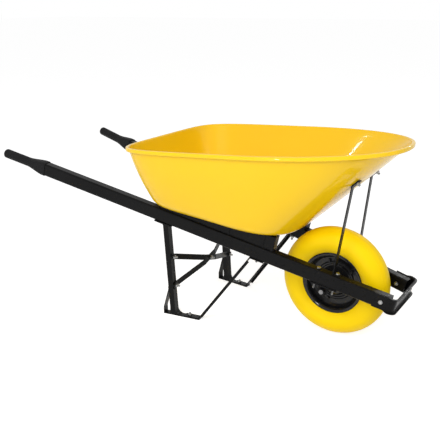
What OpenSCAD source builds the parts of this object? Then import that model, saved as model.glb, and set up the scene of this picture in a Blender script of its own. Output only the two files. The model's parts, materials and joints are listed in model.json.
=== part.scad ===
// Single-wheel barrow: pressed tray on two steel tube handles, channel legs, nose guard, solid tyre.
// Millimetres at real size. +X forward (wheel end), +Y to the left, +Z up.
// The origin is on the ground, midway along the overall length, on the centre plane.

/* [Wheel] */
// Outside diameter of the tyre
tyre_d = 400; // [330:5:410]
// Width of the tyre's round section
tyre_w = 100; // [84:1:104]
// Outside diameter of the rim's rolled lip
rim_lip_d = 230; // [200:2:236]
// Diameter of the fixed axle
axle_d = 15.9; // [12:0.1:19]

/* [Handles] */
// Slope of the handles, down towards the wheel, in degrees
deck_tilt = 13.2; // [11:0.1:15]
// Turn of each handle towards the centre plane, in degrees
rail_yaw = 7.2; // [6:0.1:8]
// Distance between the handle centre lines above the axle
rail_gap = 228; // [222:1:250]
// Height of the handle tube
rail_h = 50; // [42:1:60]
// Width of the handle tube
rail_w = 36; // [30:1:40]
// Wall of the handle tube
rail_wall = 2; // [1.5:0.1:3]
// Length of tube behind the axle
rail_back = 1210; // [1000:1:1450]
// Length of tube ahead of the axle
rail_front = 230; // [220:1:240]
// How far the axle centre hangs below the tube's centre line
axle_drop = 52; // [48:1:60]

/* [Grips] */
// Diameter of the round grip
grip_d = 36.8; // [31:0.2:40]
// Length of the round part
grip_len = 122; // [100:1:148]
// Length of the flare from round to square
flare_len = 72; // [58:1:88]
// Length of the sleeve over the tube
sleeve_len = 16; // [12:1:50]

/* [Tray] */
// Half width of the rim at its widest
rim_half_w = 311; // [290:1:330]
// Rim length ahead of its widest place
rim_ahead = 500; // [470:1:540]
// Rim length behind its widest place
rim_behind = 490; // [450:1:520]
// Height of the rim above the ground at its widest place
rim_z = 685; // [650:1:740]
// Rise of the rim towards the front, in degrees
rim_tilt = 3.5; // [2:0.1:5]
// Half width of the floor
base_half_w = 214; // [205:1:225]
// Floor length ahead of its middle
base_ahead = 268; // [250:1:280]
// Floor length behind its middle
base_behind = 262; // [250:1:272]
// Fall of the floor towards the front, in degrees
base_tilt = 7; // [5.8:0.1:7.4]
// Sheet thickness of the tray
tray_t = 2; // [1.5:0.1:2.6]
// Depth of the turned-down rim
rim_depth = 14; // [12:0.5:24]

/* [Legs] */
// Width of the leg channel
leg_w = 27; // [24:0.5:32]
// Thickness of the leg and foot plates
leg_t = 3; // [2.5:0.1:4]
// Foot length ahead of the leg
foot_ahead = 104; // [90:1:120]
// Foot length behind the leg
foot_behind = 49; // [38:1:55]
// Width of the diagonal strut
strut_w = 26; // [21:0.5:30]
// Height of the upper cross-brace bolts
brace_high_z = 237; // [200:1:250]
// Height of the lower cross-brace bolts
brace_low_z = 121; // [104:1:140]
// Width of the cross-brace bars
brace_w = 22; // [18:0.5:26]

/* [Nose guard and tray straps] */
// Height of the guard's channel
guard_h = 57; // [50:1:68]
// How far the guard's lips stand out
guard_lip = 8; // [6:0.5:10]
// Width of the straps from the handles to the tray
strap_w = 20; // [17:0.5:24]

/* [Hidden] */
$fn = 64;
black = [0.05, 0.05, 0.055];
zinc = [0.75, 0.76, 0.78];
tray_yellow = [0.98, 0.78, 0.08];
tyre_yellow = [0.98, 0.83, 0.02];
grip_grey = [0.10, 0.10, 0.11];

// clearances
hole_gap = 0.3;       // bolt in its hole, on the radius
run_gap = 0.05;       // bearing on the axle, on the radius
seat_gap = 0.3;       // between curved or sloping parts that only rest on each other
fit_gap = 0.1;        // between parts pushed together

// standard fasteners
bolt_r = 4;
head_r = 7.5;
head_t = 5;
nut_t = 6.5;
low_head_t = 3;       // flat heads that are hidden under the tray
dome_r = 12;          // round heads: a ball cut off above its middle
dome_sink = 7;
small_dome_r = 9;
small_dome_sink = 4;
past_nut = 9.5;       // thread that stands out below a nut

// wheel and handle plane, all measured from the axle
tyre_r = tyre_d / 2;
axle_r = axle_d / 2;
deck_x = axle_drop * sin(deck_tilt);
deck_z = tyre_r + axle_drop * cos(deck_tilt);
rail_y = rail_gap / 2;
rail_top = rail_h / 2;
rail_r = 6;
plumb_yaw = atan(tan(rail_yaw) / cos(deck_tilt));

// grip
grip_reach = rail_back + flare_len + grip_len;
grip_round = 9;
spigot_len = 60;
spigot_gap = 0.3;

// guard
guard_t = 3;
guard_back = 172;
guard_bolt_s = 198;
guard_front = rail_front + 14;
guard_turn = 16;
guard_low = -guard_h / 2 + 0.5;
guard_over = 2;       // how far the arms stand over the handle's top
guard_mouth = 13;     // the lips start this far behind the round corners' centre

// origin at the middle of the overall length
tail_x = deck_x - grip_reach * cos(rail_yaw) * cos(deck_tilt);
nose_x = deck_x + (guard_front + guard_t + guard_lip) * cos(deck_tilt) + rail_top * sin(deck_tilt);
axle_x = -(tail_x + nose_x) / 2;

// tray, measured from the axle
rim_x = -264;
rim_fore_n = 2.2;
rim_aft_n = 6;
rim_taper = 0.052;
base_x = -406;
base_fore_n = 3.4;
base_aft_n = 6.5;
base_taper = 0.143;
floor_gap = 4.5;
base_z = deck_under(-630, rail_top) + floor_gap + (base_x + 630) * -tan(base_tilt);
corner_r = 30;
wall_bow_fore = 2;    // how far the sheet bulges, at the front and at the back
wall_bow_aft = 11;
rim_out = 10;
rim_drop = 4;
around = 120;

// fastener places along the handle
tray_bolt_s = [-480, -258];
tray_bolt_t = 5;      // towards the centre plane, where the tray's floor is flat
leg_bolt_s = -645;
axle_bolt_s = [-34, 34];

// riser
riser_w = 38;
riser_t = 9;          // towards the centre plane
riser_wall = 3;
rib_out = 2.4;
riser_from = -662;
riser_to = -204;
riser_solid = 40;     // length of the thin end that is not hollow
rib_s = [7, 44, 178]; // ribs, measured back from the front end
rib_w = 5;

// legs, in a plumb plane along the handle
leg_x = -570;
leg_off = 5;
leg_y = rail_y - (leg_x - deck_x) * tan(plumb_yaw) + leg_off / cos(plumb_yaw);
leg_lean = 3.5;
foot_bend = 26;
flange = 20;
heel_top = 106;       // where the heel strap meets the leg
heel_lap = 10;        // and how far it lies along it
heel_low = 27;
plate_t = 5;
plate_from = -676;    // plate between leg and handle
plate_to = -604;
strut_t = 4;
stud_low = 0.3;       // the foot stud ends this far above the ground
stud_past = 5;        // and stands this far out of its nut
foot_bolt_u = 58;
strut_top_u = [309, 360];
strut_edge = 9;       // depth of the stiffening edge along the sloping part
strut_edge_t = 3;
brace_t = 3.6;
brace_out = 38;       // forward bow of the crossed bars at their centre
brace_end = 12;
brace_flat = 40;      // half the length over which the bars lie flat where they cross
brace_gap = 0.7;      // between the bars and the leaning legs

// tray straps
strap_t = 3.6;
strap_gap = 2.2;      // between a strap's flat end and the curved wall
strap_tab = 24;
strap_foot_tab = 13;
strap_turn = 19.6;     // direction on the tray outline
strap_up = 0.67;      // share of the wall's height

// axle bracket
bracket_t = 4;
bracket_half = 48;
ear_half = 18;
ear_t = 3;
ear_out = 2;          // ears stand this far outboard and inboard of the handle's centre
ear_in = 16;

// wheel inside
rim_t = 2.2;
bead_r = 102.3;
hub_r = 20;
hub_bore = 17;
hub_half = 42;
bearing_w = 12;
spacer_r = 12;
rim_bolt_ring = 76;
rim_bolt_n = 5;
rim_bolt_r = 3.5;
groove_r = 1.3;
groove_at = [-34, -26, 26, 34];   // degrees round the tyre's section
rim_head_r = 5.5;
rim_head_t = 3.5;
rim_nut_t = 5.5;
valve_ring = 89;      // the hole for a valve stays, as it does in a solid wheel's rim
valve_r = 6.5;
axle_nut_r = 12.5;
axle_past_nut = 12;

// ---- helpers ----

function unit(v) = v / norm(v);
function turn90(v) = [-v[1], v[0]];
function arc_pts(c, r, a0, a1, n) =
    [for (i = [0:n]) let (a = a0 + (a1 - a0) * i / n) c + r * [cos(a), sin(a)]];

// outline of a strip that follows a path, from offset a to offset b on the path's left
function side_pt(p, i, off) =
    let (n = len(p),
         d0 = unit(i > 0 ? p[i] - p[i - 1] : p[1] - p[0]),
         d1 = unit(i < n - 1 ? p[i + 1] - p[i] : p[n - 1] - p[n - 2]),
         m = turn90(d0) + turn90(d1))
    p[i] + m * off * 2 / (m * m);
function strip(p, a, b) = concat(
    [for (i = [0:len(p) - 1]) side_pt(p, i, a)],
    [for (i = [len(p) - 1:-1:0]) side_pt(p, i, b)]);

// height, above the ground, of the handle plane's level z at a distance x from the axle
function deck_under(x, level) = deck_z + (level - (x - deck_x) * sin(deck_tilt)) / cos(deck_tilt);

// a place on the right-hand handle, measured from the axle on the ground
function rail_at(s, t, z) =
    let (a = s * cos(rail_yaw) - t * sin(rail_yaw), b = s * sin(rail_yaw) + t * cos(rail_yaw) - rail_y)
    [deck_x + a * cos(deck_tilt) + z * sin(deck_tilt), b, deck_z - a * sin(deck_tilt) + z * cos(deck_tilt)];
function rail_plan(s, t) =
    [s * cos(rail_yaw) - t * sin(rail_yaw), s * sin(rail_yaw) + t * cos(rail_yaw) - rail_y];

module at_axle() translate([axle_x, 0, 0]) children();
module deck() at_axle() translate([deck_x, 0, deck_z]) rotate([0, deck_tilt, 0]) children();
module on_side(side) if (side > 0) mirror([0, 1, 0]) children(); else children();
// x along the handle, y towards the centre plane, z square to the handle's top
module rail(side) on_side(side) deck() translate([0, -rail_y, 0]) rotate([0, 0, rail_yaw]) children();
// x along the handle but level, y towards the centre plane, z straight up
module post(side) on_side(side) at_axle() translate([leg_x, -leg_y, 0]) rotate([0, 0, plumb_yaw]) children();
module wheel_frame() at_axle() translate([0, 0, tyre_r]) rotate([-90, 0, 0]) children();
module placed(p, ex, ey, ez) at_axle() translate(p)
    rotate([atan2(ey[2], ez[2]), -asin(ex[2]), atan2(ex[1], ex[0])]) children();

module bar(len) rotate([90, 0, 90]) linear_extrude(len) children();
module round_rect(w, h, r) {
    square([w - 2 * r, h], center = true);
    square([w, h - 2 * r], center = true);
    for (a = [-1, 1], b = [-1, 1]) translate([a * (w / 2 - r), b * (h / 2 - r)]) circle(r);
}
// a plate drawn in the leg's plane, between two lateral places
module upright(y0, y1) translate([0, y1, 0]) rotate([90, 0, 0]) linear_extrude(y1 - y0) children();
module hex(r, h) cylinder(h = h, r = r, $fn = 6);
module nut(h) difference() {
    hex(head_r, h);
    translate([0, 0, -1]) cylinder(h = h + 2, r = bolt_r + fit_gap);
}
module dome(r, sink) difference() {
    translate([0, 0, -sink]) sphere(r = r);
    translate([-20, -20, -40]) cube([40, 40, 40]);
}

// ---- wheel ----

module tyre_section() {
    difference() {
        union() {
            translate([tyre_r - tyre_w / 2, 0]) circle(tyre_w / 2, $fn = 96);
            translate([bead_r, -28]) square([24, 56]);
        }
        for (a = groove_at)
            translate([tyre_r - tyre_w / 2 * (1 - cos(a)), tyre_w / 2 * sin(a)]) circle(groove_r, $fn = 24);
    }
}

module tyre() color(tyre_yellow) wheel_frame() rotate_extrude($fn = 120) difference() {
    tyre_section();
    translate([0, -60]) square([bead_r, 120]);
    for (a = [0, 1]) mirror([0, a]) polygon(strip(rim_room, -rim_t / 2 - seat_gap, rim_t / 2 + seat_gap));
}

lip_r = rim_lip_d / 2;
rim_path = [[hub_r + 1.2, 36], [34, 35], [44, 28], [52, 9], [60, rim_t / 2 + 0.05], [88, rim_t / 2 + 0.05],
    [96, 7], [99.5, 12], [100.4, 29], [104, 33], [lip_r - 3, 34.5], [lip_r - 1.2, 32]];

// the same path, a little longer at the lip
rim_last = len(rim_path) - 1;
rim_room = concat([for (i = [0:rim_last - 1]) rim_path[i]],
    [rim_path[rim_last] + seat_gap * unit(rim_path[rim_last] - rim_path[rim_last - 1])]);

module rim(side) color(black) wheel_frame() mirror_z(side) difference() {
    rotate_extrude($fn = 96) polygon(strip(rim_path, -rim_t / 2, rim_t / 2));
    rim_bolt_places() cylinder(h = 20, r = rim_bolt_r + hole_gap, center = true);
    translate([-valve_ring, 0, 0]) cylinder(h = 30, r = valve_r, center = true);
}
module mirror_z(side) if (side < 0) mirror([0, 0, 1]) children(); else children();
module rim_bolt_places() for (i = [0:rim_bolt_n - 1])
    rotate([0, 0, 36 + i * 360 / rim_bolt_n]) translate([rim_bolt_ring, 0, 0]) children();

module hub() color(black) wheel_frame() difference() {
    cylinder(h = 2 * hub_half, r = hub_r - fit_gap, center = true);
    cylinder(h = 2 * hub_half + 2, r = hub_bore, center = true);
}

module bearing(side) color(zinc) wheel_frame() mirror_z(side) difference() {
    union() {
        translate([0, 0, hub_half - bearing_w]) cylinder(h = bearing_w, r = hub_bore - fit_gap);
        translate([0, 0, hub_half + fit_gap]) cylinder(h = 2, r = hub_bore + 1.5);
        translate([0, 0, hub_half - 1]) cylinder(h = 2, r = hub_bore - 2);
    }
    translate([0, 0, hub_half - bearing_w - 1]) cylinder(h = bearing_w + 5, r = axle_r + run_gap);
}

module rim_bolts() color(black) wheel_frame() rim_bolt_places() {
    translate([0, 0, rim_t + fit_gap]) hex(rim_head_r, rim_head_t);
    translate([0, 0, -rim_t - 8]) cylinder(h = rim_t * 2 + 9, r = rim_bolt_r);
}
module rim_nuts() color(black) wheel_frame() rim_bolt_places() difference() {
    translate([0, 0, -rim_t - fit_gap - rim_nut_t]) hex(rim_head_r, rim_nut_t);
    translate([0, 0, -rim_t - 9]) cylinder(h = 12, r = rim_bolt_r + fit_gap);
}

// ---- axle group ----

axle_half = rail_y + ear_out + axle_past_nut;
module axle() color(zinc) wheel_frame() cylinder(h = 2 * axle_half, r = axle_r, center = true);

module axle_nuts() color(black) for (side = [-1, 1]) wheel_frame() mirror_z(side) difference() {
    translate([0, 0, rail_y + ear_out + ear_t / 2 + 2]) hex(axle_nut_r, nut_t);
    cylinder(h = 200, r = axle_r + fit_gap);
}

module axle_spacer(side) color(zinc) wheel_frame() mirror_z(side) difference() {
    translate([0, 0, hub_half + 3]) cylinder(h = rail_y - ear_in - ear_t - 3 - hub_half - 3, r = spacer_r);
    cylinder(h = 200, r = axle_r + hole_gap);
}

module axle_bracket(side) color(black) difference() {
    rail(side) {
        translate([-bracket_half, -rail_w / 2, -rail_top - bracket_t])
            cube([2 * bracket_half, rail_w, bracket_t]);
        for (t = [-ear_out, ear_in]) {
            translate([-ear_half, t - ear_t / 2, -axle_drop])
                cube([2 * ear_half, ear_t, axle_drop - rail_top - bracket_t / 2]);
            translate([0, t + ear_t / 2, -axle_drop]) rotate([90, 0, 0]) cylinder(h = ear_t, r = ear_half);
        }
    }
    wheel_frame() cylinder(h = 600, r = axle_r + fit_gap, center = true);
    rail(side) for (s = axle_bolt_s) translate([s, 0, -rail_top - bracket_t - 1])
        cylinder(h = bracket_t + 2, r = bolt_r + hole_gap);
}

// the front pair also hold the feet of the tray straps
module axle_bolts() color(zinc) for (side = [-1, 1]) rail(side) for (i = [0, 1])
    translate([axle_bolt_s[i], 0, rail_top + i * strap_t]) {
        hex(head_r, head_t);
        translate([0, 0, -rail_h - 28 - i * strap_t]) cylinder(h = rail_h + 29 + i * strap_t, r = bolt_r);
    }
module axle_bolt_nuts() color(zinc) for (side = [-1, 1]) rail(side) for (s = axle_bolt_s)
    translate([s, 0, -rail_top - bracket_t - nut_t]) nut(nut_t);

// ---- handles ----

module rail_section(grow) round_rect(rail_w + 2 * grow, rail_h + 2 * grow, rail_r + grow);

module handle(side) color(black) rail(side) difference() {
    translate([-rail_back, 0, 0]) bar(rail_back + rail_front) rail_section(0);
    translate([-rail_back - 1, 0, 0]) bar(rail_back + rail_front + 2) rail_section(-rail_wall);
    for (p = [[tray_bolt_s[1], tray_bolt_t], [leg_bolt_s, 0], [axle_bolt_s[0], 0], [axle_bolt_s[1], 0]])
        translate([p[0], p[1], 0]) cylinder(h = rail_h + 4, r = bolt_r + hole_gap, center = true);
    translate([guard_bolt_s, 0, 0]) rotate([90, 0, 0])
        cylinder(h = rail_w + 4, r = bolt_r + hole_gap, center = true);
}

// a moulded end: round grip, flare, sleeve over the tube and a plug inside it
module grip(side) color(grip_grey) rail(side) translate([-rail_back, 0, 0]) {
    difference() {
        translate([-1, 0, 0]) bar(sleeve_len + 1) rail_section(2.4);
        bar(sleeve_len + 1) rail_section(fit_gap);
    }
    translate([-0.5, 0, 0]) bar(spigot_len) rail_section(-rail_wall - spigot_gap);
    hull() {
        translate([-1, 0, 0]) bar(1) rail_section(2.4);
        translate([-flare_len, 0, 0]) rotate([0, 90, 0]) cylinder(h = 1, r = grip_d / 2, $fn = 48);
    }
    translate([-flare_len + 0.5, 0, 0]) rotate([0, -90, 0]) rotate_extrude($fn = 64) union() {
        square([grip_d / 2, grip_len - grip_round + 0.5]);
        square([grip_d / 2 - grip_round, grip_len + 0.5]);
        translate([grip_d / 2 - grip_round, grip_len - grip_round + 0.5]) intersection() {
            circle(grip_round);
            square(grip_round);
        }
    }
}

// ---- tray ----

function round_n(t, fore, aft) = cos(t) >= 0 ? fore : aft;
function reach(t, n) = pow(pow(abs(cos(t)), n) + pow(abs(sin(t)), n), -1 / n);
function ring_pt(t, mid, ahead, behind, half_w, fore, aft, taper, z, rise) =
    let (k = reach(t, round_n(t, fore, aft)), x = (cos(t) >= 0 ? ahead : behind) * cos(t) * k)
    [mid + x, half_w * sin(t) * k * (1 - taper * x / 500), z + x * rise];
function rim_pt(t) = ring_pt(t, rim_x, rim_ahead, rim_behind, rim_half_w, rim_fore_n, rim_aft_n,
    rim_taper, rim_z, tan(rim_tilt));
function base_pt(t) = ring_pt(t, base_x, base_ahead, base_behind, base_half_w, base_fore_n, base_aft_n,
    base_taper, base_z, -tan(base_tilt));
function rim_run(t) = unit(rim_pt(t + 0.5) - rim_pt(t - 0.5));
function rim_away(t) = let (r = rim_run(t)) unit([r[1], -r[0], 0]);
function wall_top(t) = rim_pt(t) - rim_out * rim_away(t) - [0, 0, rim_drop];
function wall_up(t) = unit(wall_top(t) - base_pt(t));
function base_run(t) = unit(base_pt(t + 0.5) - base_pt(t - 0.5));
function wall_face(t) = unit(cross(unit(rim_run(t) + base_run(t)), wall_up(t)));
function floor_up() = [sin(base_tilt), 0, cos(base_tilt)];
function in_floor(t) = unit(base_pt(t) - [base_x, 0, base_z]);

function wall_bow(t) = (wall_bow_fore + wall_bow_aft + (wall_bow_fore - wall_bow_aft) * cos(t)) / 2;
function wall_pt(t, v, inset) = base_pt(t) + (wall_top(t) - base_pt(t)) * v
    + wall_face(t) * (wall_bow(t) * 4 * v * (1 - v) - inset);
function bend(a, b, c, k) = (1 - k) * (1 - k) * a + 2 * k * (1 - k) * b + k * k * c;
function corner_pt(t, k, inset) =
    let (b = base_pt(t), n = wall_face(t), u = floor_up(),
         v = corner_r / norm(wall_top(t) - b),
         miter = (u - n) * inset / (1 - u * n))
    bend(b - corner_r * in_floor(t) + u * inset, b + miter, wall_pt(t, v, inset), k);

lip_steps = [[-3, -4], [-2, -rim_depth], [0, -rim_depth], [0, -4], [-1.2, -1.3], [-4, 0], [-9, 0],
    [-12.5, -1.2], [-rim_out - tray_t, -5]];
function lip_pt(t, e) = rim_pt(t) + rim_away(t) * e[0] + [0, 0, e[1]];
corner_steps = 6;
tray_rings = concat(
    [for (k = [0:corner_steps]) [0, k / corner_steps, 0]],
    [[1, 0.4, 0], [1, 0.7, 0], [1, 1, 0]],
    [for (i = [0:len(lip_steps) - 1]) [2, i, 0]],
    [[1, 0.7, tray_t], [1, 0.4, tray_t]],
    [for (k = [corner_steps:-1:0]) [0, k / corner_steps, tray_t]]);
function ring_point(r, t) = r[0] == 0 ? corner_pt(t, r[1], r[2])
    : r[0] == 1 ? wall_pt(t, r[1], r[2]) : lip_pt(t, lip_steps[r[1]]);

module tray_shell() {
    n = around;
    m = len(tray_rings);
    pts = concat([for (r = tray_rings, i = [0:n - 1]) ring_point(r, i * 360 / n)],
        [[base_x, 0, base_z], [base_x, 0, base_z] + floor_up() * tray_t]);
    faces = concat(
        [for (i = [0:n - 1]) [n * m, (i + 1) % n, i]],
        [for (j = [0:m - 2], i = [0:n - 1]) [j * n + i, j * n + (i + 1) % n, (j + 1) * n + (i + 1) % n]],
        [for (j = [0:m - 2], i = [0:n - 1]) [j * n + i, (j + 1) * n + (i + 1) % n, (j + 1) * n + i]],
        [for (i = [0:n - 1]) [n * m + 1, (m - 1) * n + i, (m - 1) * n + (i + 1) % n]]);
    polyhedron(points = pts, faces = faces, convexity = 6);
}

// frame on the outside of the tray's front wall where a strap is bolted, on the right
strap_dir = -strap_turn;
strap_p = wall_pt(strap_dir, strap_up, 0);
strap_ex = unit(wall_pt(strap_dir, strap_up + 0.02, 0) - wall_pt(strap_dir, strap_up - 0.02, 0));
strap_ez = unit(cross(wall_pt(strap_dir + 1, strap_up, 0) - wall_pt(strap_dir - 1, strap_up, 0), strap_ex));
strap_ey = cross(strap_ez, strap_ex);

module on_strap(side) on_side(side) placed(strap_p, strap_ex, strap_ey, strap_ez) children();

module tray() color(tray_yellow) difference() {
    at_axle() tray_shell();
    for (side = [-1, 1]) {
        rail(side) for (s = tray_bolt_s) translate([s, tray_bolt_t, rail_top])
            cylinder(h = 120, r = bolt_r + hole_gap);
        on_strap(side) cylinder(h = 30, r = bolt_r + hole_gap, center = true);
    }
}

// everything above the tray's underside, lowered by a depth
module above_floor(lower) at_axle() translate([base_x, 0, base_z]) rotate([0, base_tilt, 0])
    translate([-500, -500, -lower]) cube([1000, 1000, 200]);

module riser(side) color(black) difference() {
    union() {
        rail(side) translate([riser_from, riser_t - riser_w / 2, rail_top])
            cube([riser_to - riser_from, riser_w, 90]);
        rail(side) for (s = rib_s) translate([riser_to - s, riser_t - riser_w / 2 - rib_out, rail_top])
            cube([rib_w, rib_out + 1, 90]);
    }
    above_floor(seat_gap);
    difference() {
        rail(side) translate([riser_from + riser_solid, riser_t - riser_w / 2 + riser_wall, rail_top - 1])
            cube([riser_to - riser_from - riser_solid - riser_wall, riser_w - 2 * riser_wall, 100]);
        above_floor(seat_gap + riser_wall);
    }
    rail(side) {
        for (s = tray_bolt_s) translate([s, tray_bolt_t, rail_top - 1])
            cylinder(h = 120, r = bolt_r + hole_gap);
        translate([leg_bolt_s, 0, rail_top - 1]) cylinder(h = 60, r = bolt_r + hole_gap);
        translate([leg_bolt_s, 0, rail_top + riser_wall]) cylinder(h = 60, r = head_r + hole_gap);
    }
}

// how high the tray's floor stands over the handle's top at a bolt, square to the handle
function floor_rise(s) =
    let (p = rail_at(s, tray_bolt_t, rail_top), u = floor_up(), q = [base_x, 0, base_z],
         up = [sin(deck_tilt), 0, cos(deck_tilt)])
    ((q - p) * u) / (up * u);
slant = tan(abs(deck_tilt - base_tilt));

// the rear pair hold the tray to the risers, the front pair go down through the handles and struts
function tray_nut_z(i) = i == 0
    ? rail_top + floor_rise(tray_bolt_s[0]) - riser_wall - 2 * seat_gap - head_r * slant - nut_t
    : -rail_top - strut_t - 3 * seat_gap - nut_t;
module tray_bolts() color(zinc) for (side = [-1, 1]) rail(side) for (i = [0, 1]) {
    head_z = rail_top + floor_rise(tray_bolt_s[i]) + tray_t + 2 * seat_gap + dome_r * slant;
    low = tray_nut_z(i) - (i == 0 ? past_nut / 2 : past_nut);
    translate([tray_bolt_s[i], tray_bolt_t, 0]) {
        translate([0, 0, head_z]) dome(dome_r, dome_sink);
        translate([0, 0, low]) cylinder(h = head_z - low + 1, r = bolt_r);
    }
}
module tray_nuts() color(zinc) for (side = [-1, 1]) rail(side) for (i = [0, 1])
    translate([tray_bolt_s[i], tray_bolt_t, tray_nut_z(i)]) nut(nut_t);

// from the leg's plate up through the handle and the thin end of the riser
module leg_bolts() color(zinc) for (side = [-1, 1]) rail(side) translate([leg_bolt_s, 0, 0]) {
    low = -rail_top - plate_t - nut_t - past_nut / 2;
    translate([0, 0, rail_top + riser_wall]) hex(head_r, low_head_t);
    translate([0, 0, low]) cylinder(h = rail_top + riser_wall + 1 - low, r = bolt_r);
}
module leg_nuts() color(zinc) for (side = [-1, 1]) rail(side)
    translate([leg_bolt_s, 0, -rail_top - plate_t - nut_t]) nut(nut_t);

// ---- legs ----

function web_u(z) = -tan(leg_lean) * max(0, z - foot_bend);
leg_top_z = deck_under(leg_x - 30, -rail_top) + 20;
foot_path = concat([[web_u(leg_top_z), leg_top_z]],
    arc_pts([foot_bend, foot_bend + leg_t / 2], foot_bend, 180, 270, 8), [[foot_ahead, leg_t / 2]]);

// the foot plate runs back behind the leg and turns up again to brace it
heel_path = [[foot_bend + 4, leg_t / 2], [-foot_behind + leg_t / 2, leg_t / 2],
    [-foot_behind + leg_t / 2, heel_low], [web_u(heel_top) - flange, heel_top],
    [web_u(heel_top + heel_lap) - flange, heel_top + heel_lap]];

module leg_channel() {
    half = leg_w / 2;
    upright(-half, half) polygon(strip(foot_path, -leg_t / 2, leg_t / 2));
    upright(-half, half) polygon(strip(heel_path, -leg_t / 2, leg_t / 2));
    for (y = [-half, half - leg_t]) upright(y, y + leg_t)
        polygon([[web_u(leg_top_z) - flange, leg_top_z], [web_u(leg_top_z), leg_top_z],
            [0, foot_bend + leg_t], [5, 12], [5, 1], [-flange - 2, 1], [-flange, foot_bend]]);
}

module leg(side) color(black) difference() {
    union() {
        difference() {
            post(side) leg_channel();
            deck() translate([-1500, -600, -rail_top]) cube([1600, 1200, 200]);
        }
        rail(side) translate([plate_from, -leg_off - leg_w / 2 - 1, -rail_top - plate_t])
            cube([plate_to - plate_from, leg_w + 9, plate_t]);
    }
    rail(side) translate([leg_bolt_s, 0, -rail_top - 20]) cylinder(h = 30, r = bolt_r + hole_gap);
    post(side) for (z = [brace_high_z, brace_low_z]) translate([web_u(z) - 20, 0, z])
        rotate([0, 90, 0]) cylinder(h = 60, r = bolt_r + hole_gap);
    post(side) translate([foot_bolt_u, 0, -1]) cylinder(h = 20, r = bolt_r + hole_gap);
}

function strut_line(u) = deck_under(leg_x + u * cos(plumb_yaw), -rail_top)
    - (strut_t / 2 + seat_gap) / cos(deck_tilt);
strut_path = [[foot_bolt_u - 20, leg_t + strut_t / 2], [foot_ahead - 4, leg_t + strut_t / 2],
    [strut_top_u[0], strut_line(strut_top_u[0])], [strut_top_u[1], strut_line(strut_top_u[1])]];

strut_run = unit(strut_path[2] - strut_path[1]);

module strut(side) color(black) difference() {
    union() {
        post(side) upright(-strut_w / 2, strut_w / 2) polygon(strip(strut_path, -strut_t / 2, strut_t / 2));
        post(side) upright(-strut_w / 2, strut_edge_t - strut_w / 2)
            polygon(strip([strut_path[1] + strut_run * 16, strut_path[2] - strut_run * 16],
                -strut_edge, strut_t / 2));
    }
    rail(side) translate([tray_bolt_s[1], tray_bolt_t, -rail_top - 20])
        cylinder(h = 30, r = bolt_r + hole_gap);
    post(side) translate([foot_bolt_u, 0, -1]) cylinder(h = 20, r = bolt_r + hole_gap);
}

module foot_studs() color(zinc) for (side = [-1, 1]) post(side) translate([foot_bolt_u, 0, stud_low])
    cylinder(h = leg_t + strut_t + nut_t + stud_past - stud_low, r = bolt_r);
module foot_nuts() color(zinc) for (side = [-1, 1]) post(side)
    translate([foot_bolt_u, 0, leg_t + strut_t]) nut(nut_t);

// crossed bars between the legs; the path is drawn in plan, then tilted about X
web_out = leg_t / 2 + brace_t / 2;
function web_plan(z, gap, along) = let (u = web_u(z) + web_out + gap)
    [leg_x + u * cos(plumb_yaw) - along * sin(plumb_yaw),
     -leg_y + u * sin(plumb_yaw) + along * cos(plumb_yaw)];
brace_slope = atan((brace_high_z - brace_low_z) / (2 * leg_y));
brace_mid_x = web_plan((brace_high_z + brace_low_z) / 2, 0, 0)[0] + brace_out;
function flat_pt(p, flip) = [p[0], flip * p[1] / cos(brace_slope)];
function brace_path(mid_x) =
    let (hi = brace_high_z - brace_w / 2, lo = brace_low_z - brace_w / 2)
    [flat_pt(web_plan(hi, brace_gap, -brace_end), 1), flat_pt(web_plan(hi, brace_gap, brace_end + 4), 1),
     [mid_x, -brace_flat], [mid_x, brace_flat],
     flat_pt(web_plan(lo, brace_gap, brace_end + 4), -1), flat_pt(web_plan(lo, brace_gap, -brace_end), -1)];

module brace(side, mid_x) color(black) difference() {
    on_side(side) at_axle() translate([0, 0, (brace_high_z + brace_low_z) / 2]) rotate([-brace_slope, 0, 0])
        translate([0, 0, -brace_w / 2]) linear_extrude(brace_w)
            polygon(strip(brace_path(mid_x), -brace_t / 2, brace_t / 2));
    for (s = [-1, 1]) post(s) for (z = [brace_high_z, brace_low_z]) translate([web_u(z) - 20, 0, z])
        rotate([0, 90, 0]) cylinder(h = 60, r = bolt_r + hole_gap + 0.3);
    at_axle() translate([brace_mid_x - 30, 0, (brace_high_z + brace_low_z) / 2])
        rotate([0, 90, 0]) cylinder(h = 60, r = bolt_r + hole_gap);
}
module leg_brace_a() brace(-1, brace_mid_x);
module leg_brace_b() brace(1, brace_mid_x - brace_t - seat_gap);

brace_nut_u = leg_t / 2 + brace_t + 2.6;
brace_head_r = 6.5;
brace_head_t = 4;
module brace_bolts() color(zinc) {
    for (side = [-1, 1]) post(side) for (z = [brace_high_z, brace_low_z]) translate([web_u(z), 0, z])
        rotate([0, 90, 0]) {
            translate([0, 0, -leg_t / 2 - 1 - brace_head_t]) hex(brace_head_r, brace_head_t);
            translate([0, 0, -leg_t / 2 - 2])
                cylinder(h = leg_t / 2 + 2 + brace_nut_u + nut_t + past_nut, r = bolt_r);
        }
    at_axle() translate([brace_mid_x, 0, (brace_high_z + brace_low_z) / 2]) rotate([0, 90, 0]) {
        translate([0, 0, -brace_t * 1.5 - seat_gap - brace_head_t]) hex(brace_head_r, brace_head_t);
        translate([0, 0, -brace_t * 1.5 - 2]) cylinder(h = brace_t * 2 + 2 + nut_t + past_nut, r = bolt_r);
    }
}
module brace_nuts() color(zinc) {
    for (side = [-1, 1]) post(side) for (z = [brace_high_z, brace_low_z])
        translate([web_u(z) + brace_nut_u, 0, z]) rotate([0, 90, 0]) nut(nut_t);
    at_axle() translate([brace_mid_x + brace_t / 2, 0, (brace_high_z + brace_low_z) / 2])
        rotate([0, 90, 0]) nut(nut_t);
}

// ---- nose guard ----

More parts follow.
